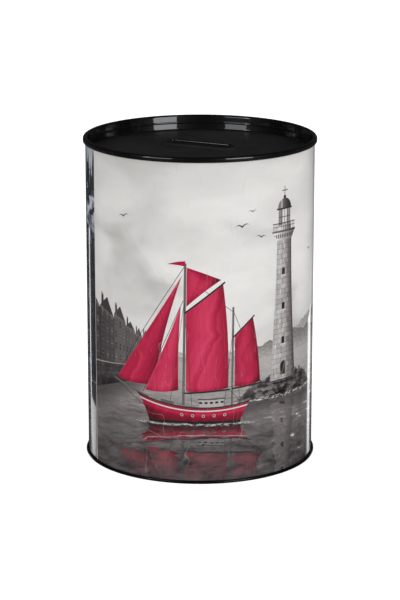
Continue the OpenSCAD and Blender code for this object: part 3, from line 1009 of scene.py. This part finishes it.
# The line starts at the slot's turned-down edge, climbs over the lip, crosses the panel, goes up
# the plug wall with its bead, over the rim and ends at the curl's tip. q is the distance
# from the slot's middle line at first, and from the tin's axis at last
def makeLid():
    t = tin["sheet"]
    lean = math.tan(math.radians(lid["wallLean"]))
    footLean = math.tan(math.radians(lid["footLean"]))
    rimZ = tinHeight - t / 2
    hem = 2 * t + wrap["hemGap"]
    plugR = bodyR - hem - lid["fit"] - t / 2
    curlR = rimR - t / 2
    rimBend = (curlR - plugR) / 2
    curlZ = tinHeight - lid["rimHeight"] + t / 2
    beadTop = tinHeight - lid["beadDrop"] + lid["beadHalfHeight"]
    beadLow = beadTop - 2 * lid["beadHalfHeight"]
    beadTopR = plugR - (rimZ - beadTop) * lean
    beadLowR = beadTopR - (beadTop - beadLow) * lean
    edgeZ = tinHeight - lid["depth"] - t / 2
    panelR = beadLowR - (beadLow - edgeZ) * footLean
    levelR = lid["slotLength"] / 2 + lid["lipWidth"] + 1
    crownZ = edgeZ + lid["crown"]
    lipZ = crownZ + lid["lipHeight"]

    # level within levelR, then falling with the square of the distance past it
    def panelZ(r):
        return edgeZ + lid["crown"] * (1 - (np.maximum(0, r - levelR) / (panelR - levelR)) ** 2)

    edge = lid["slotWidth"] / 2 + t / 2
    foot = lid["slotWidth"] / 2 + lid["lipWidth"]
    fromR, toR = foot + 0.8, panelR - 1.5  # the panel between the lip's line and the outer one
    lip = bentLine(
        [(edge, crownZ + t / 2 - lid["lipDrop"]), (edge, lipZ), (edge + lid["lipFlat"], lipZ),
         (foot, crownZ), (fromR, crownZ)],
        [0, 0.45, 0.45, 0.45, 0])
    spread = np.linspace(fromR + 1, toR - 0.1, 26)
    outer = bentLine(
        [(toR, panelZ(toR)), (panelR, edgeZ), (beadLowR, beadLow),
         ((beadLowR + beadTopR) / 2 - lid["beadDepth"], (beadTop + beadLow) / 2),
         (beadTopR, beadTop), (plugR, rimZ), (curlR, rimZ), (curlR, curlZ), (bodyR + lid["fit"], curlZ)],
        [0, lid["cornerBend"], 0.5, 0.5, 0.5, rimBend, rimBend, 0.35, 0], 9)
    line = np.concatenate([lip, np.stack([spread, panelZ(spread)], 1), outer])
    outline = sheetOutline(line, t)
    q, z = outline[:, :1], outline[:, 1:]

    # the slot's stadium turns into a circle as share goes from 0 to 1
    share = np.clip((q - fromR) / (levelR + 1 - fromR), 0, 1)
    reach = (lid["slotLength"] - lid["slotWidth"]) / 2 * (1 - share)
    diagonal = math.cos(math.pi / 4)
    onEnd = np.abs(np.cos(allRound)) > diagonal
    nearest = np.round(allRound / math.pi) * math.pi
    square = np.where(np.sin(allRound) > 0, 1, 3) * math.pi / 2
    stadium = np.where(onEnd, nearest + 2 * (allRound - nearest), square)
    phi = stadium * (1 - share) + allRound * share
    alongSlot = np.clip(np.cos(allRound) / diagonal, -1, 1)
    x = reach * alongSlot + q * np.cos(phi)
    y = q * np.sin(phi)
    onPanel = (q > fromR + 0.1) & (q < toR - 0.01)
    side = np.where(np.arange(len(outline)) < len(line), 1, -1)[:, None] * t / 2
    z = np.where(onPanel, panelZ(np.hypot(x, y)) + side, np.broadcast_to(z, x.shape))
    mesh = gridMesh("lid", np.stack([x, y, z], -1), True, materialRows=bareInside(line))
    addPiece("lid_pressing", mesh, "lid", "black_lacquer", [black, tinplate], "lid")


makeLid()
print("lid ready")


def makeBase():
    t, gap = tin["sheet"], base["seamGap"]
    low, high = t / 2, base["seamHeight"] - t / 2
    roll = (high - low) / 2
    footR = rimR - t / 2
    wallR = bodyR - t - base["fit"] - t / 2
    panelZ = base["recess"] + t / 2
    ringIn, ringOut = base["ringR"] - base["ringWidth"] / 2, base["ringR"] + base["ringWidth"] / 2
    line = bentLine(
        [(bodyR + gap, high), (footR, high), (footR, low), (wallR, low), (wallR, panelZ),
         (ringOut + 1, panelZ), (ringOut, panelZ + base["ringHeight"]),
         (ringIn, panelZ + base["ringHeight"]), (ringIn - 1, panelZ), (20, panelZ), (0, panelZ)],
        [0, roll, roll, 0.4, 0.8, 0.6, 0.6, 0.6, 0.6, 0, 0], 7)
    points = spin(sheetOutline(line, t), allRound)
    mesh = gridMesh("base", points, True, materialRows=bareInside(line))
    addPiece("base_pressing", mesh, "tin", "black_lacquer", [black, tinplate], "base")


makeBase()
print("base ready")


studio = {  # lengths in metres and angles in degrees
    "azimuth": 27,  # where the camera stands
    "distance": 1.0589,
    "height": 0.3502,
    "pitch": 14.7216,  # below level
    "lens": 141.17,
    # Soft boxes: from and to which azimuth, from and to which height, radiance. The first light
    # the colours. The others show in the gloss, and stand nearer so that none hides another
    "colourBoxes": (
        (25.3, 56, 0.01, 0.5, 2.8),
        (-27.4, -57, 0.01, 0.5, 2),
        (92, 124, 0.02, 0.5, 2.3),
        (-92, -124, 0.02, 0.5, 2.6),
    ),
    "glossBoxes": (
        (25.3, 51.1, 0.12, 0.78, 5.4),
        (-27.4, -51.4, 0.218, 0.78, 2.9),
        (-51.4, -56, 0.28, 0.78, 8),
    ),
    "colourBoxDistance": 0.9,
    "glossBoxDistance": 0.89,
    "boxTint": (0.93, 0.96, 1),
    "fill": 0.6,
    "floorGlow": 0.72,  # lifts the floor to white for the camera
    "worldInGloss": 0.025,  # the room and the floor as lacquer and varnish show them
    "floorInGloss": 0.05,
    "cardInGloss": 2.5,
    # Bright cards lie on the floor beside the tin. Each has a level and its corners, which are
    # given by the azimuth from the camera at which the wrap mirrors them, and by how far from
    # there they lie
    "cards": (
        (1, ((70.8, 0), (77.4, 0), (77, 0.28), (71.8, 0.25))),
        (0.6, ((75.6, 0.2), (77, 0.2), (76.6, 0.38), (75.8, 0.38))),
        (1, ((-73, 0.03), (-75.6, 0.03), (-76.1, 0.48), (-74.3, 0.48))),
        (0.68, ((-63.5, 0), (-75.6, 0), (-75.6, 0.105), (-67, 0.085))),
    ),
}


def placeCamera():
    camera = addObject("camera", bpy.data.cameras.new("camera"))
    turn = math.radians(studio["azimuth"])
    camera.location = (*aroundTin(turn) * studio["distance"], studio["height"])
    camera.rotation_euler = (math.radians(90 - studio["pitch"]), 0, turn)
    camera.data.lens = studio["lens"]
    camera.data.sensor_width = 36
    camera.data.clip_start = 0.05
    scene.camera = camera


# A soft box that faces the tin. Its edges are given as azimuths from the camera and heights
def softBox(fromDeg, toDeg, low, high, radiance, distance):
    lamp = bpy.data.lights.new("softBox", "AREA")
    lamp.shape = "RECTANGLE"
    middle = math.radians(studio["azimuth"] + (fromDeg + toDeg) / 2)
    lamp.size = 2 * distance * math.tan(math.radians(abs(toDeg - fromDeg) / 2))
    lamp.size_y = high - low
    lamp.energy = radiance * math.pi * lamp.size * lamp.size_y
    light = addObject("softBox", lamp)
    light.location = (*aroundTin(middle) * distance, (low + high) / 2)
    light.rotation_euler = (math.radians(90), 0, middle)
    return light


def rays(tree, kind):  # 1 for rays of this kind and 0 for others
    return wired(tree, "LightPath", {}, f"Is {kind} Ray")


# White where the camera looks past the object, even fill for its colours, dim in its gloss
def makeWorld():
    world = scene.world or bpy.data.worlds.new("studio")
    scene.world = world
    world.use_nodes = True
    tree = world.node_tree
    tree.nodes.clear()
    inGloss = blend(studio["fill"], studio["worldInGloss"], rays(tree, "Glossy"))
    strength = blend(inGloss, 1, rays(tree, "Camera"))
    light = wired(tree, "Background", {"Color": (1, 1, 1, 1), "Strength": strength})
    feed(tree.nodes.new("ShaderNodeOutputWorld").inputs[0], light)


# A card's share of the floor, from the distances to its edges. u runs to the camera's right
# and w towards the camera
def cardOn(u, w, corners):
    turn, reach = np.radians([c[0] for c in corners]), np.array([c[1] for c in corners])
    across = bodyR * mm * np.sin(turn) + reach * np.sin(2 * turn)
    ahead = bodyR * mm * np.cos(turn) + reach * np.cos(2 * turn)
    area = across @ np.roll(ahead, -1) - ahead @ np.roll(across, -1)
    outline = list(zip(across.tolist(), ahead.tolist()))[::1 if area > 0 else -1]
    edges = [edgeLine(u, w, p, q) for p, q in zip(outline, outline[1:] + outline[:1])]
    return ramp(least(*edges), -0.0015, 0.0035)


# White paper that keeps the tin's shadow
def makeFloor():
    mesh = bpy.data.meshes.new("floor")
    mesh.from_pydata([(-3, -3, 0), (3, -3, 0), (3, 3, 0), (-3, 3, 0)], [], [(0, 1, 2, 3)])
    floor = addObject("floor", mesh)
    material, tree = newMaterial("floorPaper")
    gloss, seen = rays(tree, "Glossy"), rays(tree, "Camera")
    x, y, _ = axes(objectSpace(tree))
    turn = math.radians(studio["azimuth"])
    u, w = x * math.cos(turn) + y * math.sin(turn), x * math.sin(turn) - y * math.cos(turn)
    cards = most(*[cardOn(u, w, corners) * level for level, corners in studio["cards"]])
    colour = blend(cloud(x * 700, y * 700, 3) * 0.02 + 0.79, studio["floorInGloss"], gloss)
    mesh.materials.append(dress(material, {
        "Base Color": wired(tree, "CombineColor", {0: colour, 1: colour, 2: colour}),
        "Roughness": 0.9,
        "Emission Color": (1, 1, 1, 1),
        "Emission Strength": seen * studio["floorGlow"] + gloss * cards * studio["cardInGloss"],
    }))


placeCamera()
for box in studio["colourBoxes"]:
    softBox(*box, studio["colourBoxDistance"]).visible_glossy = False
for box in studio["glossBoxes"]:
    light = softBox(*box, studio["glossBoxDistance"])
    light.data.color = studio["boxTint"]
    light.visible_diffuse = False
makeWorld()
makeFloor()
scene.view_settings.view_transform = "Standard"
print("studio ready")
